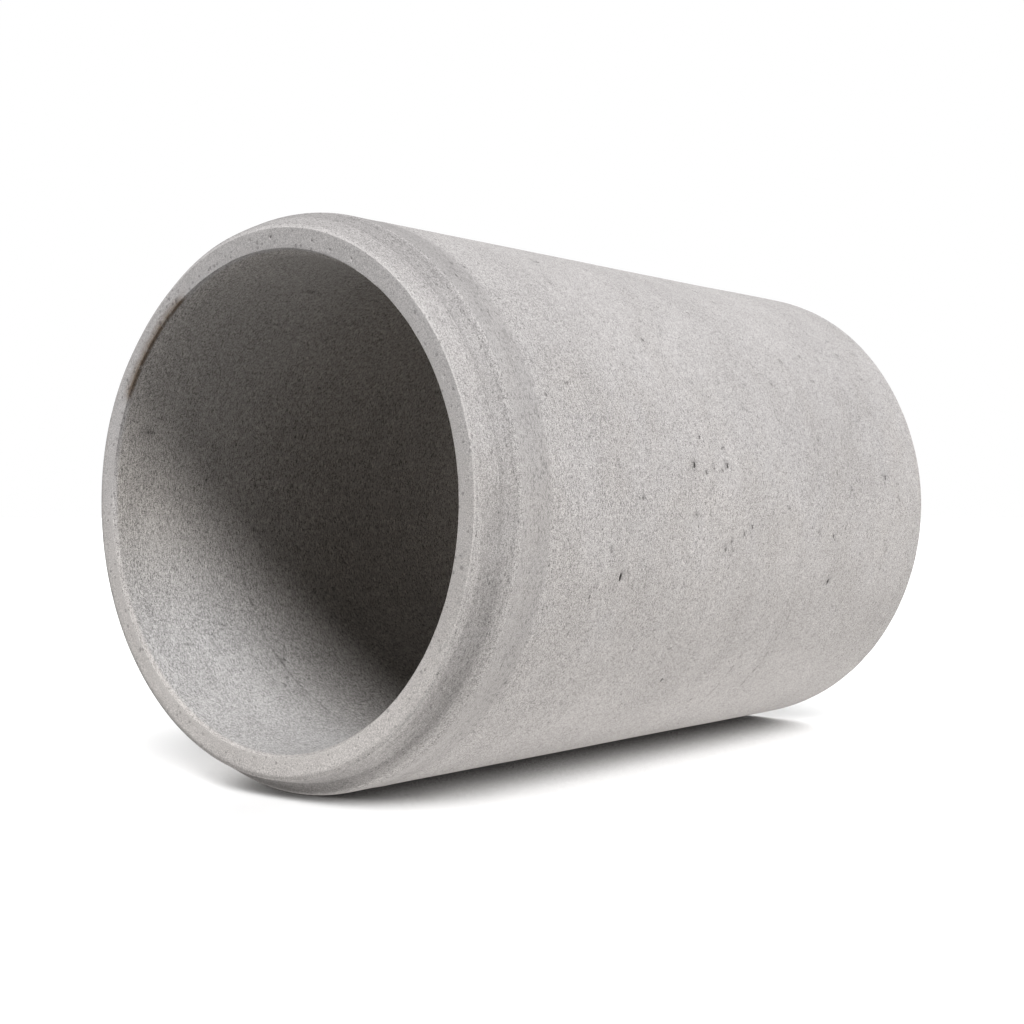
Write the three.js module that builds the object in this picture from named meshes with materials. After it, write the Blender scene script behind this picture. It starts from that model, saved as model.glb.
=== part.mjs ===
import * as THREE from 'three';

// Unreinforced concrete sewer pipe, one cast piece, lying on its side.
// Millimetres, +Z up. The bore runs along X: the spigot (tongue) end points to
// -X, the socket (groove) end to +X. The origin is on the ground under the
// middle of the pipe.

// ---- driving dimensions ----------------------------------------------------
const BORE_RADIUS = 300;          // nominal bore 600
const WALL = 55;                  // barrel wall thickness
const BARREL_RADIUS = BORE_RADIUS + WALL;
const LAYING_LENGTH = 1000;       // spigot shoulder to socket face
const SPIGOT_PROJECTION = 46;     // tip of the tongue to the shoulder arris
const OVERALL_LENGTH = LAYING_LENGTH + SPIGOT_PROJECTION;

const SPIGOT_FACE_RADIUS = 326.5; // outer edge of the flat annular tip
const SPIGOT_LIP_RADIUS = 334;    // where the tip's bevel meets the tongue
const SPIGOT_LIP_RUN = 6;         // axial length of that bevel
const SPIGOT_ROOT_RADIUS = 337.5; // tongue at the foot of the cove
const SPIGOT_ROOT_RUN = 25;
const SHOULDER_FOOT_RUN = 33;     // end of the cove, start of the shoulder
const SHOULDER_FOOT_RADIUS = 344;
const SHOULDER_TOP_RUN = 43;
const SHOULDER_TOP_RADIUS = 353;
const SHOULDER_ARRIS = 3;         // rounded edge where the shoulder meets the barrel
const MOUTH_BEVEL = 5;            // inner arris at the spigot mouth

const SOCKET_DEPTH = 46;          // groove depth at the other end
const SOCKET_FLOOR_RADIUS = 330;  // groove wall at its floor
const SOCKET_MOUTH_RADIUS = 339;  // groove wall at the mouth
const SOCKET_MOUTH_BEVEL = 3;     // inner edge of the lip
const SOCKET_FLOOR_BEVEL = 3;     // arris between the groove floor and the bore
const BARREL_END_ARRIS = 2.5;     // outer edge of the socket end

const SEGMENTS = 144;             // facets around the pipe

// ---- closed profile, as (radius, distance from the spigot tip) --------------
const L = OVERALL_LENGTH;
const FLOOR = L - SOCKET_DEPTH;
const outline = [
  // spigot mouth and tip
  [BORE_RADIUS, MOUTH_BEVEL],
  [BORE_RADIUS + MOUTH_BEVEL, 0],
  [SPIGOT_FACE_RADIUS, 0],
  // tongue, cove and shoulder
  [SPIGOT_LIP_RADIUS, SPIGOT_LIP_RUN],
  [SPIGOT_ROOT_RADIUS, SPIGOT_ROOT_RUN],
  [SHOULDER_FOOT_RADIUS, SHOULDER_FOOT_RUN],
  [SHOULDER_TOP_RADIUS, SHOULDER_TOP_RUN],
  [BARREL_RADIUS, SPIGOT_PROJECTION + SHOULDER_ARRIS],
  // barrel and socket lip
  [BARREL_RADIUS, L - BARREL_END_ARRIS],
  [BARREL_RADIUS - BARREL_END_ARRIS, L],
  [SOCKET_MOUTH_RADIUS + SOCKET_MOUTH_BEVEL, L],
  [SOCKET_MOUTH_RADIUS, L - SOCKET_MOUTH_BEVEL],
  // groove wall, groove floor and back into the bore
  [SOCKET_FLOOR_RADIUS, FLOOR],
  [BORE_RADIUS + SOCKET_FLOOR_BEVEL, FLOOR],
  [BORE_RADIUS, FLOOR - SOCKET_FLOOR_BEVEL],
];

// LatheGeometry turns the profile about Y; the profile closes on itself.
const points = outline.map(([r, s]) => new THREE.Vector2(r, s - L / 2));
points.push(points[0].clone());
const geometry = new THREE.LatheGeometry(points, SEGMENTS);

// Half a facet of turn puts the middle of one facet straight down.
geometry.rotateY(Math.PI / SEGMENTS);
// Axis from Y to X, so that the spigot points to -X.
geometry.rotateZ(-Math.PI / 2);

const concrete = new THREE.MeshStandardMaterial({
  color: 0xb9b5b1,
  roughness: 0.93,
  metalness: 0,
});

const pipe = new THREE.Mesh(geometry, concrete);
pipe.name = 'concrete_pipe';
// Flats of the faceted barrel are at the apothem, so the lowest one is at z = 0.
pipe.position.z = BARREL_RADIUS * Math.cos(Math.PI / SEGMENTS);

const part = new THREE.Group();
part.name = 'concrete_sewer_pipe';
part.add(pipe);

export default part;
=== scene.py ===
import math

import bmesh
import bpy
import numpy as np
from mathutils import Matrix, Vector, noise
from mathutils.geometry import delaunay_2d_cdt


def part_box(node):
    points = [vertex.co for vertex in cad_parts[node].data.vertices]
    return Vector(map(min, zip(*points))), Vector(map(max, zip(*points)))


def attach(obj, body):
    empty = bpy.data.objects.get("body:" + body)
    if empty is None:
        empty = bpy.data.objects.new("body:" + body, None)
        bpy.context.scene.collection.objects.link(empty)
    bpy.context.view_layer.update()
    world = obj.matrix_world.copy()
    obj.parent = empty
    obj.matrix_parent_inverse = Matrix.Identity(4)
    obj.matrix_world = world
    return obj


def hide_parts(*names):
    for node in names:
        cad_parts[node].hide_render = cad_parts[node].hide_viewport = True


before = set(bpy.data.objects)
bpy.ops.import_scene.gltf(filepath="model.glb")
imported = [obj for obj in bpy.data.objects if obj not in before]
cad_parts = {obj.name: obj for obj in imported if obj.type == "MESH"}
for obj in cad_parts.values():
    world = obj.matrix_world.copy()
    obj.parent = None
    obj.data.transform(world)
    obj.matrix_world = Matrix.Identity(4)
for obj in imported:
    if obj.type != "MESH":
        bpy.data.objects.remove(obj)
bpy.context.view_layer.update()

NODE = "concrete_pipe"
MM = 0.001

# ------------------------------------------------------------------ the frame
# The pipe's axis is along X. s is the distance from the tongue's tip, psi the
# angle round the axis: 0 at -Y, 90 at the top, 180 at +Y, -90 at the ground.
low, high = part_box(NODE)
AXIS_Z = (low.z + high.z) / 2
TIP_X = low.x
LENGTH = high.x - low.x
R_OUT = AXIS_Z - 0.00006
R_BORE = 0.3000

# ------------------------------------------------------------------ camera
cam_data = bpy.data.cameras.new("camera")
cam_data.sensor_width = 36.0
cam_data.lens = 55.59
cam_data.clip_start = 0.05
cam_data.clip_end = 200.0
camera = bpy.data.objects.new("camera", cam_data)
bpy.context.scene.collection.objects.link(camera)
right = Vector((0.63385, -0.77346, -0.00087)).normalized()
ahead = Vector((0.77346, 0.63385, -0.00106)).normalized()
up = right.cross(ahead).normalized()
right = ahead.cross(up).normalized()
turn = Matrix((right, up, -ahead)).transposed().to_4x4()
camera.matrix_world = Matrix.Translation((-1.80469, -1.43046, 0.34712)) @ turn
bpy.context.scene.camera = camera

# ------------------------------------------------------------------ stations
# The tongue wasn't cast quite round: at each angle, in millimetres, the outer
# radius of its tip (F), the end of the bevel (B, radius and s), the line at
# the foot of the taper (T) and the crest of the shoulder (S).
STATIONS = (
    # psi, F, B.r, B.s, T.r, T.s, S.r, S.s
    (-180, 325.0, 331.3, 3.4, 337.2, 26.0, 353.6, 44.0),
    (-140, 324.6, 330.6, 3.2, 336.8, 26.0, 353.6, 44.0),
    (-110, 324.4, 331.3, 3.2, 336.5, 26.0, 353.6, 44.0),
    (-80, 324.8, 331.6, 3.4, 337.0, 26.5, 353.6, 44.5),
    (-60, 325.6, 331.4, 3.4, 338.2, 27.0, 353.6, 46.5),
    (-20, 327.0, 331.2, 3.2, 339.8, 27.2, 353.6, 45.0),
    (10, 327.8, 331.2, 3.0, 340.6, 27.0, 353.6, 45.0),
    (40, 328.8, 331.9, 3.0, 341.0, 26.0, 353.5, 47.0),
    (60, 329.5, 333.0, 3.2, 342.2, 24.5, 353.6, 47.0),
    (80, 330.4, 335.2, 4.0, 345.2, 23.0, 354.0, 47.0),
    (104, 330.2, 336.6, 4.6, 346.0, 24.0, 354.0, 44.5),
    (116, 328.6, 334.2, 4.4, 344.4, 24.5, 353.6, 44.5),
    (122, 327.0, 331.5, 3.6, 342.5, 25.0, 353.3, 44.5),
    (130, 325.6, 330.6, 3.4, 340.5, 25.5, 353.4, 44.5),
    (140, 325.0, 330.2, 3.6, 339.0, 26.0, 353.6, 44.0),
    (152, 325.4, 331.6, 3.2, 338.0, 26.0, 353.6, 44.0),
    (165, 325.6, 332.0, 3.3, 337.5, 26.0, 353.6, 44.0),
)
NP = 720
ANGLES = np.arange(NP) * (360.0 / NP) - 180.0


def turned(values, soft=3.2):
    """Values given at the stations, spread smoothly over every angle."""
    at = np.array([p[0] for p in STATIONS], float)
    v = np.interp(ANGLES, at, np.array(values, float), period=360.0)
    gap = (np.arange(NP) + NP // 2) % NP - NP // 2
    bell = np.exp(-((gap * 360.0 / NP / soft) ** 2) / 2)
    bell /= bell.sum()
    return np.real(np.fft.ifft(np.fft.fft(v) * np.fft.fft(bell)))


F_R, B_R, B_S, T_R, T_S, S_R, S_S = (turned([p[k] for p in STATIONS]) * MM for k in range(1, 8))


def bump_at(centre, width):
    a = (ANGLES - centre + 180.0) % 360.0 - 180.0
    return np.exp(-((a / width) ** 2))


CROWN = bump_at(104.0, 30.0)
# the bevel is crisp on the near side and the crown, and worn round elsewhere
ROUND = np.clip((np.abs((ANGLES + 135.0 + 180.0) % 360.0 - 180.0) - 62.0) / 22.0, 0, 1)
ROUND = 1.0 - ROUND * ROUND * (3 - 2 * ROUND)
# and the shoulder runs out softly low on the near side
LOW = bump_at(-46.0, 40.0)
# the mouth has an open bevel low on the far side, and a tight lip elsewhere
OPEN = np.clip((np.abs((ANGLES + 118.0 + 180.0) % 360.0 - 180.0) - 58.0) / 18.0, 0, 1)
OPEN = 1.0 - OPEN * OPEN * (3 - 2 * OPEN)
MOUTH_R = (304.0 + 1.3 * np.cos(np.radians(ANGLES - 70.0))) * MM
DISH = 0.8 * MM


# ------------------------------------------------------------------ profile
# Rows of the turned profile, starting deep in the bore, out over the tongue,
# along the barrel, round the socket end and back into the bore. A row has its
# radius and s at every angle, how much it wears as an edge, and how much of
# the casting fin stands on it.
def span(a, b, step):
    n = max(1, int(round(abs(b - a) / step)))
    return [a + (b - a) * k / n for k in range(n)]


rows = []
marks = {}


def row(r, s, edge=0.0, fin=0.0, mark=None):
    if mark:
        marks[mark] = len(rows)
    rows.append((np.zeros(NP) + r, np.zeros(NP) + s, edge, fin))


for s in span(0.560, 0.330, 0.028):
    row(R_BORE, s)
for s in span(0.330, 0.030, 0.025):
    row(R_BORE, s)
def lip(s_mm):
    """How far the tight lip has opened from the bore at this depth."""
    t = min(1.0, s_mm / 24.0)
    return 1 - t * t * (3 - 2 * t)


for s in (0.0270, 0.0195, 0.0140, 0.0105, 0.0085):
    row(R_BORE + (MOUTH_R - R_BORE) * (1 - OPEN) * lip(s / MM), s)
row(R_BORE + (MOUTH_R - R_BORE) * (1 - OPEN) * lip(7.0), 0.0070, mark="bore_end")
# bevelled arris of the mouth
for part, s, edge in ((0.03, 5.9, 0.4), (0.14, 4.9, 0.8), (0.33, 3.6, 0.6), (0.55, 2.5, 0.5), (0.78, 1.6, 0.6), (0.93, 1.05, 0.8), (1.0, 0.86, 0.5)):
    opened = part * OPEN + (1 - OPEN) * (lip(s) if part < 1 else 1.0)
    row(R_BORE + (MOUTH_R - R_BORE) * opened, (0.86 + (s - 0.86) * (OPEN + (1 - OPEN) * (0.5 + 0.5 * min(1.0, s / 4.0)))) * MM, edge, mark="mouth" if part == 0.55 else None)
# annular tip, dished by less than a millimetre
for part in (0.03, 0.14, 0.29, 0.45, 0.62, 0.79, 0.92, 0.98):
    row(MOUTH_R + (F_R - MOUTH_R) * part, DISH * (1 - part), 0.0, 0.0, "face0" if part == 0.03 else ("face1" if part == 0.98 else None))
row(F_R, 0.00002, 0.30, mark="tip")
# bevel of the tip
for part in (0.09, 0.26, 0.50, 0.74, 0.93, 1.0):
    row(F_R + (B_R - F_R) * part, B_S * part - 0.80 * MM * ROUND * 4 * part * (1 - part) + 0.00002, 0.25 if part in (0.09, 1.0) else 0.12)
# taper, and the broken fin at its foot
for part in (0.022, 0.11, 0.28, 0.46, 0.64, 0.80, 0.90, 0.945, 0.98):
    row(B_R + (T_R - B_R) * part + 0.35 * MM * CROWN * 4 * part * (1 - part), B_S + (T_S - B_S) * part, 0.0, 0.0, "taper0" if part == 0.11 else ("taper1" if part == 0.945 else None))
row(T_R, T_S, 0.0, 1.0, "foot")
# cove and shoulder
COVE = (
    (0.025, 0.008, 0.025, 0.012, 0.30), (0.060, 0.018, 0.065, 0.035, -0.55), (0.115, 0.036, 0.120, 0.085, -0.30), (0.210, 0.090, 0.215, 0.200, 0.0),
    (0.333, 0.185, 0.370, 0.360, 0.0), (0.450, 0.300, 0.510, 0.505, 0.0), (0.560, 0.430, 0.640, 0.625, 0.0), (0.660, 0.570, 0.745, 0.725, 0.0),
    (0.760, 0.715, 0.840, 0.815, 0.0), (0.860, 0.860, 0.930, 0.895, 0.0), (0.930, 0.945, 0.970, 0.948, 0.0), (0.975, 0.985, 0.990, 0.982, 0.0),
)
for ps, side, crown, soft, fin in COVE:
    part = side + (crown - side) * CROWN + (soft - side) * LOW
    row(T_R + (S_R - T_R) * part, T_S + (S_S - T_S) * ps, 0.0 if ps < 0.85 else 0.12, fin)
S_R = S_R - 1.0 * MM * LOW
for k in range(len(rows) - len(COVE), len(rows)):
    share = (rows[k][0] - T_R) / (S_R + 1.0 * MM * LOW - T_R)
    rows[k] = (T_R + (S_R - T_R) * share,) + rows[k][1:]
row(S_R, S_S, 0.35, mark="crest")
for ds, part in ((0.45, 0.14), (1.3, 0.38), (2.7, 0.72), (4.6, 0.93), (6.6, 1.0)):
    part = part + ((ds / 6.6) ** 0.8 - part) * LOW
    row(S_R + (R_OUT - S_R) * part, S_S + ds * MM * (1 + 0.25 * LOW), 0.10 if ds < 2 else 0.0)
# barrel: the rough band next to the tongue, the mould line, and the rest
for s in (0.0590, 0.0620, 0.0645, 0.0660, 0.0675, 0.0690, 0.0710, 0.0750, 0.0810, 0.0868, 0.0926, 0.0984):
    row(R_OUT, s, mark="barrel0" if s == 0.0590 else None)
for s in span(0.1040, 0.1085, 0.0015):
    row(R_OUT, s)
for s in span(0.1085, 0.1190, 0.0010):
    row(R_OUT, s)
for s in span(0.1190, 0.1500, 0.0062):
    row(R_OUT, s)
for s in span(0.1500, 1.0200, 0.0155):
    row(R_OUT, s)
for s in (1.0200, 1.0290, 1.0370):
    row(R_OUT, s)
row(R_OUT, 1.0430, mark="barrel1")
# socket end: outer arris, lip, inner arris, tapered groove, groove floor
row(R_OUT - 0.00003, 1.0444, 0.15)
row(R_OUT - 0.00018, 1.0451, 0.35)
row(R_OUT - 0.00050, 1.04555, 0.5, mark="end")
row(R_OUT - 0.00110, 1.04588, 0.35)
row(R_OUT - 0.00200, 1.04600, 0.15)
for r in (0.3498, 0.3466, 0.3438):
    row(r, 1.0460, mark="lip0" if r == 0.3498 else None)
row(0.3424, 1.04595, 0.6)
row(0.3412, 1.0454, 1.0)
row(0.3402, 1.0444, 1.0, mark="groove")
row(0.3395, 1.0430, 0.6)
row(0.3390, 1.0405, 0.2)
for s in (1.0350, 1.0280, 1.0210, 1.0140, 1.0075, 1.0035):
    row(0.3300 + (0.3390 - 0.3300) * (s - 1.0) / 0.0405, s)
row(0.3299, 1.0016)
row(0.3292, 1.0004)
row(0.3278, 1.0000, mark="floor0")
for r in (0.3240, 0.3195, 0.3150, 0.3105, 0.3072):
    row(r, 1.0000)
row(0.3052, 0.99985, 0.6)
row(0.3036, 0.9993, 1.0)
row(0.3021, 0.9982, 1.0)
row(0.3009, 0.9966, 0.8)
row(0.3002, 0.9944, 0.3)
row(R_BORE, 0.9905, mark="far0")
for s in span(0.9820, 0.8800, 0.0200):
    row(R_BORE, s)
for s in span(0.8800, 0.5800, 0.0300):
    row(R_BORE, s)
row(R_BORE, 0.5800)

TR = np.array([k[0] for k in rows])
TS = np.array([k[1] for k in rows])
MR_0, MS_0 = TR.mean(1), TS.mean(1)
# low on the near side the tongue runs into the barrel in one soft sweep
first, last = marks["taper0"], marks["barrel0"] + 1
for j in range(NP):
    if LOW[j] < 0.02:
        continue
    s_j, r_j = TS[first:last, j], TR[first:last, j]
    wide = np.gradient(s_j)
    soft = np.exp(-(((s_j[:, None] - s_j[None, :]) / 0.0036) ** 2) / 2) * wide[None, :]
    eased = (soft @ r_j) / soft.sum(1)
    fade = np.clip((s_j - s_j[0]) / 0.008, 0, 1) * np.clip((s_j[-1] - s_j) / 0.006, 0, 1) * min(1.0, 1.25 * LOW[j])
    TR[first:last, j] = r_j + (eased - r_j) * fade
# the socket end was cast a few millimetres out of round
OUT = np.clip(3.3 * bump_at(54.0, 21.0) + 1.5 * bump_at(-50.0, 21.0) - 0.15, 0, None) * MM
for i in range(len(rows)):
    if MS_0[i] > 0.78 and MR_0[i] > 0.3425:
        t = min(1.0, (MS_0[i] - 0.78) / 0.22)
        TR[i] += OUT * t * t * (3 - 2 * t) * min(1.0, (MR_0[i] - 0.3425) / 0.0120)
EDGE = np.array([k[2] for k in rows])
FIN = np.array([k[3] for k in rows])
NI = len(rows)
NJ = 288
steps = np.hypot(np.roll(TR, -1, 0) - TR, np.roll(TS, -1, 0) - TS).mean(1)
U = np.concatenate([[0.0], np.cumsum(steps[:-1])])
# painted light and shade along thin lines, +1 a painted highlight, -1 a painted shadow: a pale fin at the tongue's
# foot with painted shadow behind it, and a pale crest, partly edge wear and partly painted highlight, with painted
# shadow behind it
FIN_LIGHT_SHADE = np.zeros(NI)
for mark, after, value in (("foot", 0, 1.1), ("foot", 1, -0.2), ("foot", 2, -0.5), ("foot", 3, -0.5), ("foot", 4, -0.3), ("crest", 0, 0.40), ("crest", 3, -0.25), ("crest", 4, -0.25)):
    FIN_LIGHT_SHADE[marks[mark] + after] = value
# outward normals of the profile at every row and angle, in (radius, s)
d1r, d1s = TR - np.roll(TR, 1, 0), TS - np.roll(TS, 1, 0)
d2r, d2s = np.roll(TR, -1, 0) - TR, np.roll(TS, -1, 0) - TS
l1, l2 = np.hypot(d1r, d1s), np.hypot(d2r, d2s)
tr, ts = d1r / l1 + d2r / l2, d1s / l1 + d2s / l2
ln = np.hypot(tr, ts)
NR, NS = ts / ln, -tr / ln

MR, MS = TR.mean(1), TS.mean(1)


def u_of(mark):
    return float(U[marks[mark]])


def u_on_barrel(s):
    return u_of("barrel0") + (s - 0.0590)


def u_on_bore(s):
    return 0.560 - s


def u_on_face(r):
    a, b = marks["face0"], marks["face1"]
    return float(np.interp(r, MR[a : b + 1], U[a : b + 1]))


def u_on_taper(s):
    a, b = marks["taper0"], marks["taper1"]
    return float(np.interp(s, MS[a : b + 1], U[a : b + 1]))


# ------------------------------------------------------------------ relief
def bump3(x, y, z, size, seed=0.0):
    return noise.noise(Vector((x / size + seed, y / size - 1.7 * seed, z / size + 0.6 * seed)))


def smooth(a, b, x):
    t = min(1.0, max(0.0, (x - a) / (b - a)))
    return t * t * (3 - 2 * t)


# where edges are knocked: (u, psi in degrees, reach along the profile, reach
# round the pipe, depth), in metres
rng = np.random.default_rng(20417)
knocks = [
    (u_of("tip"), 157.0, 0.0030, 0.012, 0.0007),
    (u_of("tip"), 146.0, 0.0030, 0.010, 0.0006),
    (u_of("tip"), -33.0, 0.0022, 0.006, 0.0006),
    (u_of("tip"), 31.0, 0.0020, 0.005, 0.0005),
    (u_of("tip"), -128.0, 0.0030, 0.010, 0.0007),
    (u_of("mouth"), 71.0, 0.0020, 0.004, 0.0007),
    (u_of("mouth"), -118.0, 0.0020, 0.006, 0.0007),
    (u_of("mouth"), 203.0, 0.0020, 0.005, 0.0006),
    (u_of("crest"), 24.0, 0.0026, 0.008, 0.0006),
    (u_of("crest"), -52.0, 0.0026, 0.008, 0.0007),
    (u_of("crest"), 118.0, 0.0030, 0.012, 0.0008),
]
for name, count, deep in (("tip", 18, 0.0004), ("mouth", 18, 0.0004), ("crest", 16, 0.0004), ("end", 22, 0.0007), ("groove", 22, 0.0011)):
    for _ in range(count):
        knocks.append((u_of(name) + rng.normal(0, 0.0005), float(rng.uniform(-180, 180)), float(rng.uniform(0.0012, 0.0024)), float(rng.uniform(0.002, 0.007)), float(deep * rng.uniform(0.5, 1.3))))
KN = np.array(knocks)


def joint(arc):
    """Where the mould joint runs, as s, at this arc round the barrel."""
    return 0.1122 + 0.0011 * noise.noise(Vector((arc / 0.16, 2.0, 0.3))) + 0.0006 * noise.noise(Vector((arc / 0.03, 5.0, 0.3)))


def relief(u, psi, r, s, edge, fin, x, y, z):
    """How far the surface lies inside the nominal profile, in metres."""
    over = math.exp(-((((psi - 84.0 + 180.0) % 360.0 - 180.0) / 46.0) ** 2)) * (1 - smooth(0.30, 0.60, s))
    d = 0.00034 - 0.00022 * over
    d += (0.00026 * bump3(x, y, z, 0.230) + 0.00011 * bump3(x, y, z, 0.071, 3.1)) * (1 - 0.6 * over)
    d += 0.00005 * bump3(x * 2.2, y, z, 0.030, 9.4)
    arc = math.radians(psi) * R_OUT
    if 0.050 < s < 1.042 and r > 0.35:
        # the mould joint: a fine fin on an uneven line, with the band before it a little lower
        line = joint(arc)
        tall = 0.00022 + 0.00022 * noise.noise(Vector((arc / 0.05, 8.0, 1.3)))
        d += 0.00010 * (1 - smooth(line - 0.0012, line + 0.0012, s)) * smooth(0.052, 0.060, s)
        d -= max(0.0, tall) * math.exp(-(((s - line) / 0.0011) ** 2))
        d += 0.00008 * math.exp(-(((s - line - 0.0032) / 0.0016) ** 2))
        # the rough part of the band begins at a wandering little step
        start = 0.0672 + 0.0022 * noise.noise(Vector((arc / 0.060, 4.0, 7.3))) + 0.0009 * noise.noise(Vector((arc / 0.014, 6.0, 2.3)))
        d += 0.00016 * smooth(start - 0.0008, start + 0.0008, s) * (1 - smooth(0.104, 0.110, s))
    if fin > 0:
        torn = noise.noise(Vector((arc / 0.012, 3.0, 4.3))) + 0.6 * noise.noise(Vector((arc / 0.004, 1.0, 9.3)))
        d -= fin * 0.00018 * smooth(-0.25, 0.20, torn)
    elif fin < 0:
        d -= fin * 0.00026
    if edge > 0:
        around = Vector((x / 0.022, y / 0.022, z / 0.022))
        fine = Vector((x / 0.007 + 5, y / 0.007, z / 0.007))
        d += edge * (0.00014 + 0.00034 * max(0.0, noise.noise(around)) + 0.00018 * max(0.0, noise.noise(fine)))
    near = KN[np.abs(KN[:, 0] - u) < 0.010]
    for k in near:
        dv = ((psi - k[1] + 180) % 360 - 180) * math.pi / 180 * r
        if abs(dv) < 3 * k[3]:
            d += k[4] * math.exp(-(((u - k[0]) / k[2]) ** 2) - (dv / k[3]) ** 2)
    return max(0.0, d)


def place(u, psi, sink=0.0):
    """A point of the finished surface, at mean arc length u of the profile and psi degrees round."""
    i = min(NI - 2, max(0, int(np.searchsorted(U, u, side="right")) - 1))
    t = min(1.0, max(0.0, (u - U[i]) / (U[i + 1] - U[i])))
    a = ((psi + 180.0) % 360.0) * NP / 360.0
    j = int(a) % NP
    w = a - int(a)
    k = (j + 1) % NP

    def at(table):
        return (table[i, j] * (1 - w) + table[i, k] * w) * (1 - t) + (table[i + 1, j] * (1 - w) + table[i + 1, k] * w) * t

    r, s, nr, ns = at(TR), at(TS), at(NR), at(NS)
    n = math.hypot(nr, ns)
    nr, ns = nr / n, ns / n
    e = EDGE[i] * (1 - t) + EDGE[i + 1] * t
    f = FIN[i] * (1 - t) + FIN[i + 1] * t
    c, q = math.cos(math.radians(psi)), math.sin(math.radians(psi))
    x, y, z = TIP_X + s, -r * c, AXIS_Z + r * q
    d = relief(u, psi, r, s, e, f, x, y, z) + sink
    r -= nr * d
    s -= ns * d
    s = min(LENGTH, max(0.0, s))
    return (TIP_X + s, -r * c, AXIS_Z + r * q)


# ------------------------------------------------------------------ air holes
# (u, psi in degrees, half width round the pipe, half length along it, depth)
holes = []


def hole(u, psi, a, b, depth=None, turn=0.0):
    holes.append([u, psi, a * MM, b * MM, (depth if depth else (1.15 if a > 4.3 else 0.80) * min(a, b)) * MM, turn])


# the larger ones on the side that is seen, at their own places
for s, psi, a, b in (
    (397, 7.9, 5.4, 2.6), (475, 8.0, 5.0, 2.4), (419, 13.8, 3.6, 2.0), (423, 6.4, 3.6, 1.5), (442, 7.2, 2.6, 1.4),
    (462, 6.9, 2.6, 1.3), (436, 3.4, 2.0, 1.2), (247, -14.2, 6.2, 2.9), (772, -18.3, 4.8, 3.3), (925, 6.6, 4.6, 2.4),
    (443, -40.4, 4.2, 1.8), (473, -9.5, 4.0, 1.5), (485, -7.9, 3.2, 1.7), (515, -6.3, 3.8, 1.4), (534, -4.9, 3.6, 1.4),
    (492, -9.9, 2.4, 1.4), (631, -1.0, 2.6, 1.5), (399, -2.4, 3.0, 1.3), (402, -4.6, 2.6, 1.2), (279, 1.0, 2.6, 1.8),
    (167, 23.0, 2.6, 1.7), (119, 20.1, 2.2, 1.6), (377, 35.9, 3.2, 1.6), (733, 14.8, 2.2, 1.4), (221, -9.2, 2.4, 1.6),
    (766, -8.2, 2.2, 1.2), (716, -6.5, 2.4, 1.2), (968, 1.2, 2.8, 1.5), (882, 21.0, 2.4, 1.4), (194, -17.8, 2.8, 1.6),
    (306, 61.0, 3.0, 1.8), (560, 48.0, 2.8, 1.5), (690, 62.0, 3.0, 1.6),
):
    hole(u_on_barrel(s * MM), psi, 0.92 * a, 0.92 * b)
for s, psi, a, b in ((174, -138.4, 3.6, 2.0), (183, -139.9, 2.2, 1.3), (140, -120, 2.0, 1.3)):
    hole(u_on_bore(s * MM), psi, a, b)
for r, psi, a, b in ((317.0, 89.0, 1.4, 1.2), (314.5, 76.0, 1.2, 1.0), (312.0, 63.0, 1.0, 1.0), (318.5, 95.5, 1.0, 0.9), (310.5, 70.0, 0.9, 0.8), (316.0, -62.0, 0.8, 0.7)):
    hole(u_on_face(r * MM), psi, a, b)


def scatter(count, u0, u1, size, long, spread=0.42, keep=None, top=3.2):
    made = 0
    tries = 0
    while made < count and tries < count * 60:
        tries += 1
        u, psi = float(rng.uniform(u0, u1)), float(rng.uniform(-86.5, 266.5))
        if keep is not None and rng.uniform() > keep(u, psi):
            continue
        b = float(min(top, size * math.exp(rng.normal(0, spread))))
        a = b * float(rng.uniform(1.0, long))
        hole(u, psi, a, b, 0.8 * b, float(rng.normal(0, 0.25)))
        made += 1


def cloud(u, psi):
    """Air holes gather in clouds."""
    r = R_OUT
    v = noise.noise(Vector((u / 0.11, r * math.cos(math.radians(psi)) / 0.13, r * math.sin(math.radians(psi)) / 0.13)))
    return min(1.0, max(0.06, 0.45 + 1.5 * v))


ub0, ub1 = u_of("barrel0") + 0.002, u_of("barrel1") - 0.004
scatter(190, ub0 + 0.008, u_on_barrel(0.109), 0.72, 2.0, 0.30, None, 1.5)
scatter(360, u_on_barrel(0.119), ub1, 0.72, 2.0, 0.34, cloud, 2.0)
scatter(8, u_of("face0") + 0.003, u_of("face1") - 0.002, 0.50, 1.2, 0.20, None, 0.9)
scatter(14, u_of("taper0") + 0.002, u_of("taper1") - 0.002, 0.70, 1.5, 0.25, None, 1.2)
scatter(90, u_on_bore(0.330), u_on_bore(0.016), 0.85, 1.8, 0.32, cloud, 1.8)
scatter(40, u_of("lip0") + 0.0010, u_of("lip0") + 0.0050, 0.70, 1.2, 0.2, None, 1.0)
scatter(60, u_of("floor0") + 0.003, u_of("floor0") + 0.018, 0.90, 1.4, 0.3, None, 1.6)
scatter(60, u_of("far0") + 0.004, u_of("far0") + 0.100, 0.95, 1.8, 0.3, cloud, 1.8)

# drop holes that crowd each other, larger ones first
holes.sort(key=lambda h: -(h[2] + h[3]))
kept = []
grid = {}
for h in holes:
    r = float(np.interp(h[0], U, MR))
    v = math.radians(h[1]) * r
    cell = (int(h[0] // 0.016), int(v // 0.016))
    clash = False
    for du in (-1, 0, 1):
        for dv in (-1, 0, 1):
            for q in grid.get((cell[0] + du, cell[1] + dv), ()):
                if abs(q[0] - h[0]) < (q[3] + h[3]) * 1.25 + 0.0010 and abs(math.radians(q[1] - h[1]) * r) < (q[2] + h[2]) * 1.25 + 0.0010:
                    clash = True
    if not clash and -87.0 < h[1] < 267.0:
        kept.append(h)
        grid.setdefault(cell, []).append(h)
holes = kept

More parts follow.
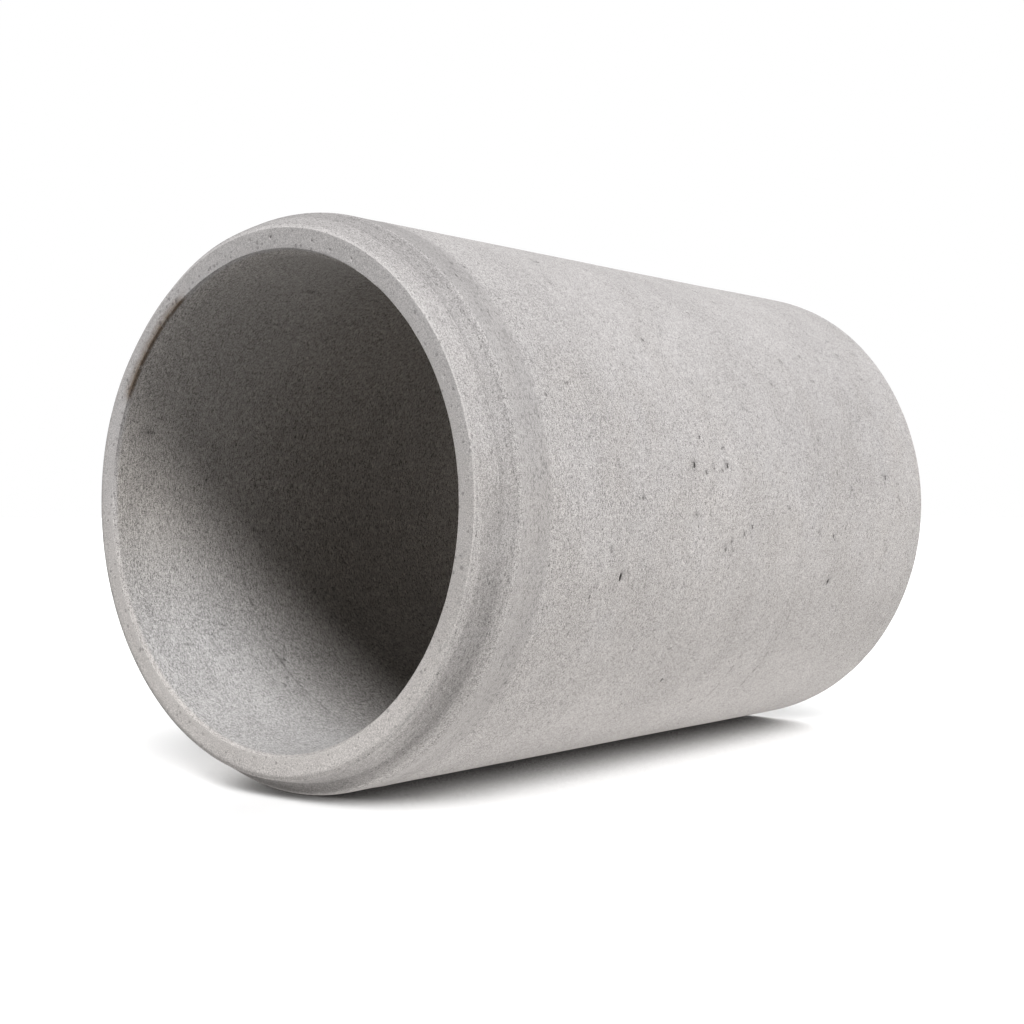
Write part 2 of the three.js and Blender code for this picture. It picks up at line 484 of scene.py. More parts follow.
# ------------------------------------------------------------------ mesh
PSI0 = -90.0
DPSI = 360.0 / NJ


def psi_of(j):
    return PSI0 + DPSI * j


verts = []
for i in range(NI):
    for j in range(NJ):
        verts.append(place(float(U[i]), psi_of(j)))
# the row i is laid exactly on U[i], so the seam row closes on itself
a_pit_shade = [0.0] * len(verts)


def vid(i, j):
    return (i % NI) * NJ + (j % NJ)


marked = {}
for hk, h in enumerate(holes):
    u, psi, a, b, depth, tw = h
    psi_l = psi if psi >= PSI0 else psi + 360
    h[1] = psi_l
    r = float(np.interp(u, U, MR))
    reach_u = (b * abs(math.cos(tw)) + a * abs(math.sin(tw))) * 1.22 + 0.0005
    reach_v = (a * abs(math.cos(tw)) + b * abs(math.sin(tw))) * 1.22 + 0.0005
    i0 = int(np.searchsorted(U, u - reach_u, side="right")) - 1
    i1 = int(np.searchsorted(U, u + reach_u, side="right")) - 1
    dpsi = math.degrees(reach_v / r)
    j0 = int(math.floor((psi_l - dpsi - PSI0) / DPSI))
    j1 = int(math.floor((psi_l + dpsi - PSI0) / DPSI))
    for i in range(max(0, i0), min(NI - 2, i1) + 1):
        for j in range(j0, j1 + 1):
            marked.setdefault((i, j), set()).add(hk)

faces = []
for i in range(NI):
    for j in range(NJ):
        if (i, j) not in marked:
            faces.append((vid(i, j), vid(i + 1, j), vid(i + 1, j + 1), vid(i, j + 1)))

# groups of cells that hold air holes
seen = set()
for start in sorted(marked):
    if start in seen:
        continue
    group, stack = [], [start]
    seen.add(start)
    while stack:
        c = stack.pop()
        group.append(c)
        for n in ((c[0] + 1, c[1]), (c[0] - 1, c[1]), (c[0], c[1] + 1), (c[0], c[1] - 1)):
            if n in marked and n not in seen:
                seen.add(n)
                stack.append(n)
    cells = set(group)
    hs = sorted(set(k for c in group for k in marked[c]))
    rr = float(np.interp(holes[hs[0]][0], U, MR))
    pts, ids, index = [], [], {}

    def corner(i, j):
        key = (i, j)
        if key not in index:
            index[key] = len(pts)
            pts.append((float(U[i]) * 1000, math.radians(psi_of(j)) * rr * 1000))
            ids.append(vid(i, j))
        return index[key]

    edges = []
    for (i, j) in group:
        for (other, p, q) in (((i - 1, j), (i, j), (i, j + 1)), ((i + 1, j), (i + 1, j), (i + 1, j + 1)), ((i, j - 1), (i, j), (i + 1, j)), ((i, j + 1), (i, j + 1), (i + 1, j + 1))):
            if other not in cells:
                edges.append((corner(*p), corner(*q)))
    border = set(index)
    rim_polys = []
    for k in hs:
        u, psi, a, b, depth, tw = holes[k]
        big = max(a, b) > 0.0019
        # painted shade inside each air hole: darker for larger holes, and darker deep in the hole than at its rim
        hole_shade = min(1.0, 0.22 + 165.0 * max(a, b))
        n = 14 if big else (9 if max(a, b) > 0.0011 else 7)
        wob = [1 + 0.30 * noise.noise(Vector((3.3 * k, math.cos(2 * math.pi * m / n) * 1.3, math.sin(2 * math.pi * m / n) * 1.3))) for m in range(n)]
        rings = ((1.0, 0.0), (0.90, 0.50), (0.66, 0.88), (0.32, 0.98)) if big else ((1.0, 0.0), (0.74, 0.66))
        made = []
        for rho, dep in rings:
            ring = []
            for m in range(n):
                t = 2 * math.pi * m / n
                pu, pv = b * math.cos(t) * wob[m] * rho, a * math.sin(t) * wob[m] * rho
                qu, qv = pu * math.cos(tw) - pv * math.sin(tw), pu * math.sin(tw) + pv * math.cos(tw)
                uu, pp = u + qu, psi + math.degrees(qv / rr)
                verts.append(place(uu, pp, depth * dep + (0.00004 if rho == 1.0 else 0.0)))
                a_pit_shade.append((min(1.0, 0.45 + dep) if rho < 1.0 else 0.12) * hole_shade)
                ring.append((len(verts) - 1, uu, pp))
            made.append(ring)
        verts.append(place(u, psi, depth))
        a_pit_shade.append(hole_shade)
        centre = len(verts) - 1
        first = len(pts)
        for (v, uu, pp) in made[0]:
            pts.append((uu * 1000, math.radians(pp) * rr * 1000))
            ids.append(v)
        for m in range(n):
            edges.append((first + m, first + (m + 1) % n))
        rim_polys.append([pts[first + m] for m in range(n)])
        for outer, inner in zip(made[:-1], made[1:]):
            for m in range(n):
                m2 = (m + 1) % n
                faces.append((outer[m][0], outer[m2][0], inner[m2][0], inner[m][0]))
        last = made[-1]
        for m in range(n):
            faces.append((last[m][0], last[(m + 1) % n][0], centre))

    def inside(poly, x, y):
        hit = False
        for m in range(len(poly)):
            (x1, y1), (x2, y2) = poly[m - 1], poly[m]
            if (y1 > y) != (y2 > y) and x < (x2 - x1) * (y - y1) / (y2 - y1) + x1:
                hit = not hit
        return hit

    # grid points inside the group that no hole covers
    for (i, j) in group:
        for key in ((i, j), (i + 1, j), (i, j + 1), (i + 1, j + 1)):
            if key in index or key in border:
                continue
            x, y = float(U[key[0]]) * 1000, math.radians(psi_of(key[1])) * rr * 1000
            clear = True
            for k in hs:
                u, psi, a, b, depth, tw = holes[k]
                du, dv = x - u * 1000, y - math.radians(psi) * rr * 1000
                eu, ev = du * math.cos(tw) + dv * math.sin(tw), -du * math.sin(tw) + dv * math.cos(tw)
                if math.hypot(eu / (b * 1300 + 0.3), ev / (a * 1300 + 0.3)) < 1.0:
                    clear = False
                    break
            if clear:
                corner(*key)
    out = delaunay_2d_cdt([Vector(p) for p in pts], edges, [], 0, 1e-6)
    where = [o[0] if o else -1 for o in out[3]]
    for tri in out[2]:
        cx = sum(out[0][t].x for t in tri) / 3
        cy = sum(out[0][t].y for t in tri) / 3
        ci = int(np.searchsorted(U, cx / 1000, side="right")) - 1
        cj = int(math.floor((math.degrees(cy / 1000 / rr) - PSI0) / DPSI))
        if (ci, cj) not in cells or any(inside(p, cx, cy) for p in rim_polys):
            continue
        if any(where[t] < 0 for t in tri):
            raise RuntimeError("a stray crossing in the mesh round an air hole")
        faces.append(tuple(ids[where[t]] for t in tri))

mesh = bpy.data.meshes.new("cast_pipe")
mesh.from_pydata(verts, [], faces)
mesh.validate()

bm = bmesh.new()
bm.from_mesh(mesh)
bmesh.ops.recalc_face_normals(bm, faces=bm.faces)
open_edges = sum(1 for e in bm.edges if len(e.link_faces) != 2)
tri_count = sum(len(f.verts) - 2 for f in bm.faces)
volume = bm.calc_volume(signed=True)
if volume < 0:
    bmesh.ops.reverse_faces(bm, faces=bm.faces)
# the painted shade of the air holes, kept on the points
layer = bm.verts.layers.float.new("pit_shade")
lay_bore = bm.verts.layers.float.new("bore")
lay_edge = bm.verts.layers.float.new("arris")
lay_fin_light_shade = bm.verts.layers.float.new("line")
bm.verts.ensure_lookup_table()
for k, v in enumerate(bm.verts):
    v[layer] = a_pit_shade[k]
    if k < NI * NJ:
        v[lay_edge] = float(EDGE[k // NJ])
        around = psi_of(k % NJ)
        gap = (around + 36.0 + 180.0) % 360.0 - 180.0
        v[lay_fin_light_shade] = float(FIN_LIGHT_SHADE[k // NJ]) * (1.0 - 0.92 * math.exp(-((gap / 28.0) ** 2)))
    s = v.co.x - TIP_X
    r = math.hypot(v.co.y, v.co.z - AXIS_Z)
    # on the mould joint: a painted highlight along the fin high on the pipe, painted shade along it lower down, and a
    # painted shadow just behind it
    if 0.104 < s < 0.121 and r > 0.35:
        arc = math.atan2(v.co.z - AXIS_Z, -v.co.y) * R_OUT
        off = s - joint(arc)
        high = smooth(0.02, 0.24, v.co.z - AXIS_Z)
        v[lay_fin_light_shade] = (0.35 * high - 0.45 * (1 - high)) * math.exp(-((off / 0.0010) ** 2)) - 0.30 * math.exp(-(((off - 0.0026) / 0.0013) ** 2))
    v[lay_bore] = smooth(0.0035, 0.0100, s) * (1 - smooth(0.3035, 0.3060, r)) * (1 - smooth(0.990, 0.998, s))
bmesh.ops.delete(bm, geom=[v for v in bm.verts if not v.link_faces], context="VERTS")
for f in bm.faces:
    f.smooth = True
bm.to_mesh(mesh)
bm.free()
print("PIPE", "triangles", tri_count, "open edges", open_edges, "volume", round(abs(volume), 5), "holes", len(holes), "rows", NI)

pipe = bpy.data.objects.new("cast_pipe", mesh)
bpy.context.scene.collection.objects.link(pipe)
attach(pipe, "root")
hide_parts(NODE)


# ------------------------------------------------------------------ material
class Nodes:
    """A few words for wiring shader nodes."""

    def __init__(self, name):
        self.mat = bpy.data.materials.new(name)
        self.mat.use_nodes = True
        self.tree = self.mat.node_tree
        self.tree.nodes.clear()

    def node(self, kind, **props):
        n = self.tree.nodes.new(kind)
        for k, v in props.items():
            setattr(n, k, v)
        return n

    def put(self, socket, value):
        if isinstance(value, bpy.types.NodeSocket):
            self.tree.links.new(value, socket)
        else:
            socket.default_value = value

    def math(self, op, a, b=0.0, c=None, clamp=False):
        n = self.node("ShaderNodeMath", operation=op, use_clamp=clamp)
        self.put(n.inputs[0], a)
        self.put(n.inputs[1], b)
        if c is not None:
            self.put(n.inputs[2], c)
        return n.outputs[0]

    def stretch(self, vec, scale, shift=(0, 0, 0)):
        n = self.node("ShaderNodeMapping")
        self.put(n.inputs["Vector"], vec)
        n.inputs["Scale"].default_value = scale
        n.inputs["Location"].default_value = shift
        return n.outputs[0]

    def noise(self, vec, scale, detail=2.0, rough=0.5, distort=0.0):
        n = self.node("ShaderNodeTexNoise", noise_dimensions="3D", normalize=True)
        self.put(n.inputs["Vector"], vec)
        n.inputs["Scale"].default_value = scale
        n.inputs["Detail"].default_value = detail
        n.inputs["Roughness"].default_value = rough
        n.inputs["Distortion"].default_value = distort
        return n.outputs["Fac"]

    def ragged(self, vec, scale, amount):
        """The same place, pushed about a little, so that round spots turn ragged."""
        n = self.node("ShaderNodeTexNoise", noise_dimensions="3D", normalize=True)
        self.put(n.inputs["Vector"], vec)
        n.inputs["Scale"].default_value = scale
        n.inputs["Detail"].default_value = 1.0
        less = self.node("ShaderNodeVectorMath", operation="SUBTRACT")
        self.put(less.inputs[0], n.outputs["Color"])
        less.inputs[1].default_value = (0.5, 0.5, 0.5)
        times = self.node("ShaderNodeVectorMath", operation="SCALE")
        self.put(times.inputs[0], less.outputs[0])
        times.inputs["Scale"].default_value = amount
        add = self.node("ShaderNodeVectorMath", operation="ADD")
        self.put(add.inputs[0], vec)
        self.put(add.inputs[1], times.outputs[0])
        return add.outputs[0]

    def spots(self, vec, scale, share, wide, narrow):
        """Spots in some of the cells, each of its own size: 1 inside, 0 outside."""
        n = self.node("ShaderNodeTexVoronoi", voronoi_dimensions="3D", feature="F1")
        self.put(n.inputs["Vector"], vec)
        n.inputs["Scale"].default_value = scale
        n.inputs["Randomness"].default_value = 1.0
        pick = self.node("ShaderNodeSeparateColor")
        self.put(pick.inputs[0], n.outputs["Color"])
        size = self.math("MULTIPLY_ADD", pick.outputs[1], 0.75, 0.55)
        spot = self.ramp(self.math("DIVIDE", n.outputs["Distance"], size), wide, narrow)
        return self.math("MULTIPLY", spot, self.math("LESS_THAN", pick.outputs[0], share))

    def ramp(self, value, a, b, lo=0.0, hi=1.0, smooth_step=True):
        n = self.node("ShaderNodeMapRange", interpolation_type="SMOOTHSTEP" if smooth_step else "LINEAR", clamp=True)
        self.put(n.inputs["Value"], value)
        n.inputs["From Min"].default_value = a
        n.inputs["From Max"].default_value = b
        n.inputs["To Min"].default_value = lo
        n.inputs["To Max"].default_value = hi
        return n.outputs["Result"]

    def mix(self, fac, a, b, blend="MIX"):
        n = self.node("ShaderNodeMix", data_type="RGBA", blend_type=blend, clamp_factor=True)
        self.put(n.inputs["Factor"], fac)
        self.put(n.inputs[6], a)
        self.put(n.inputs[7], b)
        return n.outputs[2]

    def attr(self, name):
        return self.node("ShaderNodeAttribute", attribute_name=name).outputs["Fac"]

    def total(self, first, *more):
        for k in more:
            first = self.math("ADD", first, k)
        return first

    def product(self, first, *more):
        for k in more:
            first = self.math("MULTIPLY", first, k)
        return first

    def less(self, mask, amount):
        """1 outside the mask, 1 - amount inside it."""
        return self.math("MULTIPLY_ADD", mask, -amount, 1.0)

    def hill(self, angle, centre, width):
        """1 at an angle round the pipe (radians), falling to 0 a width away on each side."""
        c = self.math("COSINE", self.math("SUBTRACT", angle, math.radians(centre)))
        return self.ramp(c, math.cos(math.radians(width)), 1.0)


def concrete():
    m = Nodes("cast_concrete")
    here = m.node("ShaderNodeTexCoord").outputs["Object"]
    split = m.node("ShaderNodeSeparateXYZ")
    m.put(split.inputs[0], here)
    x, y, z = split.outputs
    s = m.math("SUBTRACT", x, TIP_X)
    dz = m.math("SUBTRACT", z, AXIS_Z)
    r = m.math("SQRT", m.math("ADD", m.math("MULTIPLY", y, y), m.math("MULTIPLY", dz, dz)))
    psi = m.math("ARCTAN2", dz, m.math("MULTIPLY", y, -1.0))
    pit_shade, bore, arris, line = m.attr("pit_shade"), m.attr("bore"), m.attr("arris"), m.attr("line")

    # where on the pipe
    face = m.product(m.ramp(s, 0.0024, 0.0010), m.ramp(r, 0.3025, 0.3045))
    bevel = m.product(m.ramp(s, 0.0010, 0.0024), m.ramp(s, 0.0038, 0.0026), m.ramp(r, 0.3225, 0.3250))
    tongue = m.product(m.ramp(s, 0.0030, 0.0050), m.ramp(s, 0.0450, 0.0400), m.ramp(r, 0.3290, 0.3310))
    band = m.product(m.ramp(s, 0.0655, 0.0690), m.ramp(s, 0.106, 0.094), m.ramp(r, 0.345, 0.350))
    near_band = m.product(m.ramp(s, 0.046, 0.054), m.ramp(s, 0.107, 0.096), m.ramp(r, 0.345, 0.350))
    calm = m.total(face, m.math("MULTIPLY", tongue, 0.8), m.math("MULTIPLY", near_band, 1.5), m.math("MULTIPLY", bevel, 0.8))
    # the same place with lengths round the pipe drawn out, on all but the end face
    drawn = m.node("ShaderNodeCombineXYZ")
    pull = m.math("MULTIPLY_ADD", face, 0.38, 0.62)
    m.put(drawn.inputs[0], x)
    m.put(drawn.inputs[1], m.math("MULTIPLY", y, pull))
    m.put(drawn.inputs[2], m.math("MULTIPLY", dz, pull))
    drawn = drawn.outputs[0]

    # clouds of tone in the cement skin, from hand-wide patches down to sand grains
    cloud = m.noise(here, 3.6, 2.0, 0.55)
    patch = m.noise(m.stretch(here, (1.4, 1.0, 1.0), (4, 1, 7)), 13.0, 3.0, 0.55)
    mottle = m.noise(m.stretch(here, (1.0, 0.8, 0.8), (9, 2, 3)), 60.0, 2.0, 0.6)
    ring = m.noise(m.stretch(here, (1.0, 0.06, 0.06), (2, 8, 1)), 62.0, 2.0, 0.6)
    grain = m.noise(m.stretch(drawn, (1.0, 1.0, 1.0), (1, 4, 6)), 430.0, 1.0, 0.6)
    sand = m.noise(here, 820.0, 1.0, 0.7)
    hatch = m.noise(m.stretch(here, (1.0, 0.26, 0.26), (3, 1, 4)), 740.0, 1.0, 0.6)

    plain_skin = m.total(
        m.ramp(cloud, 0.30, 0.72, -0.045, 0.045),
        m.ramp(patch, 0.28, 0.74, -0.035, 0.035),
        m.ramp(mottle, 0.28, 0.74, -0.030, 0.030),
        m.ramp(ring, 0.28, 0.74, -0.020, 0.020),
    )
    gritty = m.total(
        m.ramp(grain, 0.22, 0.78, -0.100, 0.090, False),
        m.ramp(sand, 0.22, 0.78, -0.660, 0.600, False),
    )
    hatching = m.product(m.ramp(hatch, 0.22, 0.78, -0.400, 0.360, False), m.math("MULTIPLY_ADD", bore, 0.60, 0.50), m.less(face, 1.0))
    deep = m.math("MULTIPLY", bore, m.product(m.ramp(s, 0.10, 0.42), m.ramp(s, 0.99, 0.80)))
    tone = m.total(
        m.product(plain_skin, m.less(calm, 0.40)),
        m.product(gritty, m.less(calm, 0.29), m.total(1.0, m.math("MULTIPLY", bore, 0.20), m.math("MULTIPLY", deep, 0.30))),
        m.product(hatching, m.math("MULTIPLY_ADD", deep, 0.50, 1.0), m.less(near_band, 0.35)),
    )

    # dark pin holes in loose clouds: coarse ones, then fine ones between them
    crowd = m.ramp(patch, 0.56, 0.36, 0.06, 0.30)
    crowd = m.product(m.math("ADD", crowd, m.math("MULTIPLY", band, 0.10)), m.less(face, 0.85), m.less(tongue, 0.60), m.less(bevel, 0.80), m.less(bore, 0.35))
    torn = m.ragged(here, 900.0, 0.0012)
    spot = m.spots(m.stretch(torn, (1.0, 0.55, 0.55), (3, 3, 3)), 280.0, crowd, 0.30, 0.20)
    # fine dashes drawn round the pipe, thick behind the tongue and on the crown
    strip = m.product(m.ramp(s, 0.047, 0.060), m.ramp(s, 0.26, 0.12), m.ramp(r, 0.345, 0.350), m.hill(psi, 18.0, 78.0))
    dashed = m.math("MULTIPLY_ADD", strip, 0.36, m.ramp(patch, 0.38, 0.62, 0.14, 0.42))
    fine = m.spots(m.stretch(torn, (1.0, 0.30, 0.30), (1, 9, 5)), 540.0, m.math("MULTIPLY", dashed, m.less(face, 0.45)), 0.40, 0.26)
    # fine scores drawn round the pipe by the mould and the packer head
    scored = m.noise(m.stretch(here, (1.0, 0.035, 0.035), (6, 2, 9)), 75.0, 1.0, 0.5)
    broken = m.ramp(mottle, 0.50, 0.62)
    score = m.product(m.ramp(m.math("ABSOLUTE", m.math("SUBTRACT", scored, 0.5)), 0.020, 0.004), broken, m.total(0.25, m.math("MULTIPLY", bore, 0.75), m.math("MULTIPLY", band, 0.75)), m.less(face, 1.0))
    # a seam of the core high up the bore's far wall, and two broken scratches
    seam_at = m.math("MULTIPLY_ADD", patch, 0.016, 0.2030)
    seam = m.product(m.ramp(m.math("ABSOLUTE", m.math("SUBTRACT", s, seam_at)), 0.0030, 0.0012), bore, m.hill(psi, -138.0, 40.0), m.ramp(mottle, 0.42, 0.56, 0.25, 1.0))
    drift = m.math("MULTIPLY_ADD", patch, 0.030, -0.015)
    off_1 = m.math("ABSOLUTE", m.math("SUBTRACT", m.math("ADD", s, drift), 0.616))
    off_2 = m.math("ABSOLUTE", m.math("SUBTRACT", m.math("ADD", s, drift), 0.688))
    scratch = m.product(m.ramp(m.math("MINIMUM", off_1, off_2), 0.0030, 0.0012), m.hill(psi, -37.0, 17.0), m.ramp(grain, 0.40, 0.52, 0.3, 1.0), m.ramp(mottle, 0.46, 0.56), m.ramp(r, 0.345, 0.350))
    # painted highlights on the broken fins at the tongue's foot and on the mould joint, and painted shadow behind them
    frayed = m.ramp(mottle, 0.34, 0.58, 0.25, 1.0)
    fin_highlight = m.product(m.math("MAXIMUM", line, 0.0), frayed)
    fin_shadow = m.math("MAXIMUM", m.math("MULTIPLY", line, -1.0), 0.0)

    # painted light and shade by place on the pipe, fitted to the photo: painted shade low on the tongue, under it,
    # at its foot and on its upper side; painted light on its flat face and bevel
    wander = m.math("ADD", psi, m.ramp(patch, 0.3, 0.7, -0.12, 0.12))
    low_side = m.hill(wander, -31.0, 36.0)
    under = m.hill(wander, -92.0, 34.0)
    upper = m.product(m.ramp(wander, math.radians(30.0), math.radians(56.0)), m.ramp(wander, math.radians(150.0), math.radians(120.0)))
    foot = m.product(tongue, m.ramp(s, 0.018, 0.026))
    early = m.product(m.ramp(s, 0.0030, 0.0050), m.ramp(s, 0.120, 0.085), m.ramp(r, 0.3290, 0.3310))
    shade = m.product(
        m.math("ADD", 1.0, tone),
        1.026,
        m.less(spot, 0.32),
        m.less(fine, 0.34),
        m.less(score, 0.20),
        m.less(seam, 0.30),
        m.less(scratch, 0.40),
        # painted shade along the underside of the barrel
        m.less(m.product(m.ramp(s, 0.047, 0.060), m.ramp(r, 0.345, 0.350), m.hill(psi, -95.0, 43.0)), 0.13),
        # painted shade inside the air holes
        m.less(pit_shade, 0.80),
        # painted highlights and painted shadows along the fins
        m.math("MULTIPLY_ADD", fin_highlight, 0.28, 1.0),
        m.less(fin_shadow, 0.24),
        m.less(band, 0.045),
        m.less(near_band, 0.09),
        m.less(tongue, 0.06),
        # painted shade low on the tongue's near side
        m.less(m.product(tongue, low_side, m.ramp(s, 0.006, 0.013), m.ramp(s, 0.041, 0.032)), 0.24),
        # painted shade under the tongue
        m.less(m.math("MULTIPLY", tongue, under), 0.22),
        # painted light on the upper part of the cove and the crest, low on the near side
        m.math("MULTIPLY_ADD", m.product(m.ramp(s, 0.0320, 0.0380), m.ramp(s, 0.0480, 0.0420), m.ramp(r, 0.335, 0.338), m.hill(psi, -52.0, 30.0)), 0.14, 1.0),
        # painted shade on the upper side of the tongue, the cove and the band
        m.less(m.math("MULTIPLY", early, upper), 0.14),
        # painted shade on the upper side of the cove, the crest and the band
        m.less(m.product(upper, m.ramp(s, 0.0260, 0.0300), m.ramp(s, 0.0960, 0.0640), m.ramp(r, 0.335, 0.338)), 0.06),
        # painted shade at the foot of the taper and in the cove
        m.less(foot, 0.08),
        # painted shade inside the bore, a little more far into it
        m.less(bore, 0.085),
        m.less(deep, 0.03),
        # painted shade along the crest and the slope behind it, high on the near side
        m.less(m.product(m.ramp(s, 0.0395, 0.0420), m.ramp(s, 0.0485, 0.0455), m.ramp(r, 0.345, 0.348), m.ramp(m.hill(psi, 20.0, 75.0), 0.0, 0.5)), 0.15),
        m.less(m.product(m.ramp(s, 0.100, 0.108), m.ramp(s, 0.260, 0.150), m.ramp(r, 0.345, 0.350), m.hill(psi, 66.0, 44.0)), 0.035),
        m.math("MULTIPLY_ADD", m.product(m.ramp(s, 0.330, 0.430), m.ramp(s, 0.560, 0.460), m.ramp(r, 0.345, 0.350), m.hill(psi, -10.0, 34.0)), 0.09, 1.0),
        m.less(m.product(m.ramp(s, 0.780, 0.960), m.ramp(r, 0.345, 0.350), m.hill(psi, -46.0, 30.0)), 0.07),
        m.less(m.product(face, m.ramp(r, 0.3215, 0.3240), m.hill(psi, -150.0, 55.0)), 0.12),
    )
    # painted light on the end face, strongest towards the ground and low on the near side, and on the bevel low on the
    # near side
    face_painted_light = m.math("MULTIPLY_ADD", m.math("COSINE", m.math("ADD", psi, math.radians(100.0))), 0.120, 0.218)
    face_painted_light = m.math("MULTIPLY_ADD", m.hill(psi, -62.0, 45.0), 0.20, face_painted_light)
    side = m.math("MULTIPLY", m.hill(psi, -76.0, 62.0), 0.36)
    shade = m.math("MULTIPLY", shade, m.total(1.0, m.math("MULTIPLY", face, face_painted_light), m.math("MULTIPLY", bevel, side)))

    level = m.math("MULTIPLY_ADD", m.math("SUBTRACT", patch, 0.5), 0.5, dz)
    plain = m.mix(m.ramp(level, -0.24, 0.28), (0.395, 0.374, 0.360, 1), (0.389, 0.374, 0.370, 1))
    # low in the bore, where the key light falls, the skin is a cooler grey; high and deep in it, where shade falls, it
    # is a browner and darker grey, a painted tint of the shade
    plain = m.mix(bore, plain, m.mix(m.ramp(dz, -0.20, 0.04), (0.386, 0.377, 0.373, 1), (0.389, 0.366, 0.345, 1)))
    plain = m.mix(m.math("MULTIPLY", deep, m.ramp(dz, -0.30, -0.05, 0.5, 1.0)), plain, (0.386, 0.352, 0.322, 1))
    # a rusty brown stain on the edge of the mouth
    reach = m.math("ADD", r, m.ramp(mottle, 0.3, 0.7, -0.0016, 0.0016))
    mouth = m.product(m.ramp(s, 0.0085, 0.0045), m.ramp(reach, 0.3180, 0.3090))
    rim = m.product(m.ramp(s, 0.0070, 0.0040), m.ramp(reach, 0.3085, 0.3060))
    around = m.hill(psi, 137.0, 19.0)
    stain = m.product(m.math("ADD", m.math("MULTIPLY", mouth, 0.60), m.math("MULTIPLY", rim, 0.45)), m.ramp(around, 0.0, 0.45), m.ramp(mottle, 0.30, 0.50, 0.55, 1.0))
    base = m.mix(stain, plain, (0.150, 0.118, 0.092, 1))
    grey = m.node("ShaderNodeCombineXYZ")
    for k in range(3):
        m.put(grey.inputs[k], shade)
    colour_out = m.mix(1.0, base, grey.outputs[0], "MULTIPLY")

    # relief finer than the mesh
    height = m.total(
        m.math("MULTIPLY_ADD", sand, 0.65, -0.325),
        m.math("MULTIPLY_ADD", hatch, 0.6, -0.30),
    )
    bump = m.node("ShaderNodeBump")
    bump.inputs["Strength"].default_value = 0.70
    bump.inputs["Distance"].default_value = 0.0006
    m.put(bump.inputs["Height"], height)

    shader = m.node("ShaderNodeBsdfPrincipled")
    m.put(shader.inputs["Base Color"], colour_out)
    m.put(shader.inputs["Roughness"], m.ramp(mottle, 0.25, 0.75, 0.86, 0.97))
    shader.inputs["IOR"].default_value = 1.45
    shader.inputs["Specular IOR Level"].default_value = 0.20
    m.put(shader.inputs["Normal"], bump.outputs[0])
    out = m.node("ShaderNodeOutputMaterial")
    m.put(out.inputs[0], shader.outputs[0])
    return m.mat


mesh.materials.append(concrete())

# ------------------------------------------------------------------ floor
floor_mesh = bpy.data.meshes.new("floor")
half = 60.0
floor_mesh.from_pydata([(-half, -half, -0.0001), (half, -half, -0.0001), (half, half, -0.0001), (-half, half, -0.0001)], [], [(0, 1, 2, 3)])
floor = bpy.data.objects.new("floor", floor_mesh)
bpy.context.scene.collection.objects.link(floor)


def pale_floor():
    """White paper to the eye, a softer white to the light it throws back. Near and under
    the pipe its colour darkens with ambient occlusion: a painted contact shadow, laid over the light that the belly
    throws down."""
    m = Nodes("white_floor")
    sky = m.node("ShaderNodeAmbientOcclusion", samples=6, only_local=False)
    sky.inputs["Distance"].default_value = 1.2
    # painted contact shadow: the floor's colour darkens with ambient occlusion near and under the pipe
    clear = m.ramp(sky.outputs["AO"], 0.0, 0.30, 0.07, 1.0, False)
    clear = m.math("MULTIPLY", clear, m.ramp(sky.outputs["AO"], 0.0, 0.16, 0.80, 1.0))
    seen = m.mix(1.0, (0.90, 0.90, 0.90, 1), clear, "MULTIPLY")
    path = m.node("ShaderNodeLightPath")
    shown = m.node("ShaderNodeBsdfDiffuse")
    m.put(shown.inputs[0], seen)
    thrown = m.node("ShaderNodeBsdfDiffuse")
    thrown.inputs[0].default_value = (0.42, 0.42, 0.42, 1)
    pick = m.node("ShaderNodeMixShader")
    m.put(pick.inputs[0], path.outputs["Is Camera Ray"])
    m.put(pick.inputs[1], thrown.outputs[0])
    m.put(pick.inputs[2], shown.outputs[0])
    out = m.node("ShaderNodeOutputMaterial")
    m.put(out.inputs[0], pick.outputs[0])
    return m.mat


floor_mesh.materials.append(pale_floor())

# ------------------------------------------------------------------ light
scene = bpy.context.scene
scene.view_settings.view_transform = "Standard"
scene.view_settings.look = "None"
scene.view_settings.exposure = 0.0
scene.view_settings.gamma = 1.0

lit_pipe = bpy.data.collections.new("lit_pipe")
lit_pipe.objects.link(pipe)
lit_floor = bpy.data.collections.new("lit_floor")
lit_floor.objects.link(floor)


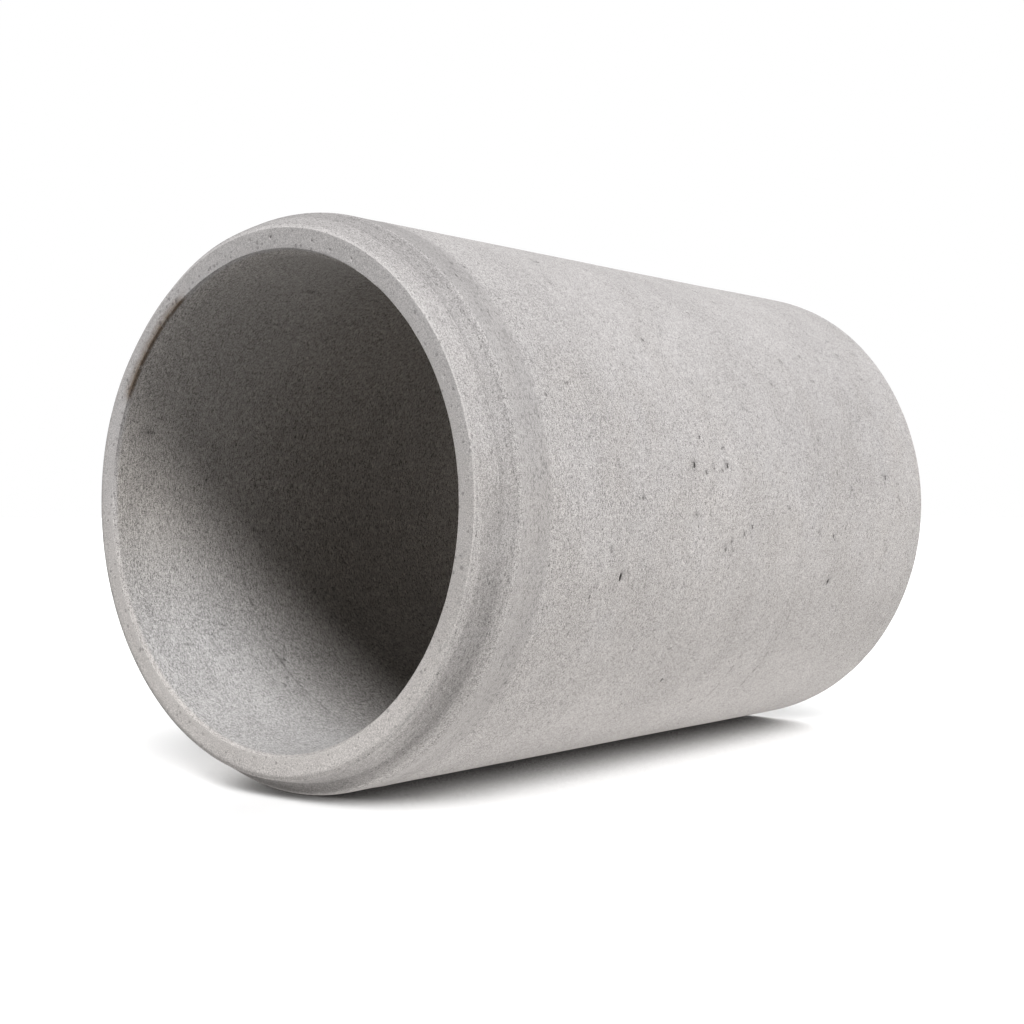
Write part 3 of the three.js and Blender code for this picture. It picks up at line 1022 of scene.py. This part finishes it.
def lamp(name, azimuth, elevation, angle, strength, on):
    """A soft distant lamp on the pipe alone or on the floor alone, as a studio's
    flags would keep it; the pipe shadows both."""
    data = bpy.data.lights.new(name, "SUN")
    data.energy = strength * math.pi
    data.angle = math.radians(angle)
    o = bpy.data.objects.new(name, data)
    a, e = math.radians(azimuth), math.radians(elevation)
    towards = Vector((math.sin(a) * math.cos(e), -math.cos(a) * math.cos(e), math.sin(e)))
    o.rotation_mode = "QUATERNION"
    o.rotation_quaternion = towards.to_track_quat("Z", "Y")
    scene.collection.objects.link(o)
    o.light_linking.receiver_collection = on
    o.light_linking.blocker_collection = lit_pipe
    return o


lamp("key", -41.0, 55.0, 25.0, 1.455, lit_pipe)
lamp("fill_front", 0.0, 30.0, 70.0, 0.225, lit_pipe)
lamp("fill_right", 60.0, 30.0, 70.0, 0.091, lit_pipe)
lamp("fill_low", 50.0, -65.0, 30.0, 0.861, lit_pipe)
lamp("fill_back", 165.0, 30.0, 60.0, 0.450, lit_pipe)
lamp("floor_left", -45.0, 30.0, 40.0, 1.016, lit_floor)
lamp("floor_top", -45.0, 50.0, 40.0, 0.487, lit_floor)
lamp("floor_right", 60.0, 18.0, 36.0, 0.773, lit_floor)
lamp("floor_far", 135.0, 18.0, 36.0, 1.291, lit_floor)
lamp("floor_back", 180.0, 50.0, 40.0, 0.228, lit_floor)

world = bpy.data.worlds.new("studio")
scene.world = world
world.use_nodes = True
wt = world.node_tree
wt.nodes.clear()
w_out = wt.nodes.new("ShaderNodeOutputWorld")
w_mix = wt.nodes.new("ShaderNodeMixShader")
w_path = wt.nodes.new("ShaderNodeLightPath")
w_seen = wt.nodes.new("ShaderNodeBackground")
w_seen.inputs[0].default_value = (1, 1, 1, 1)
w_seen.inputs[1].default_value = 1.0
w_lit = wt.nodes.new("ShaderNodeBackground")
w_lit.inputs[0].default_value = (1, 1, 1, 1)
w_lit.inputs[1].default_value = 0.0
wt.links.new(w_path.outputs["Is Camera Ray"], w_mix.inputs[0])
wt.links.new(w_lit.outputs[0], w_mix.inputs[1])
wt.links.new(w_seen.outputs[0], w_mix.inputs[2])
wt.links.new(w_mix.outputs[0], w_out.inputs[0])
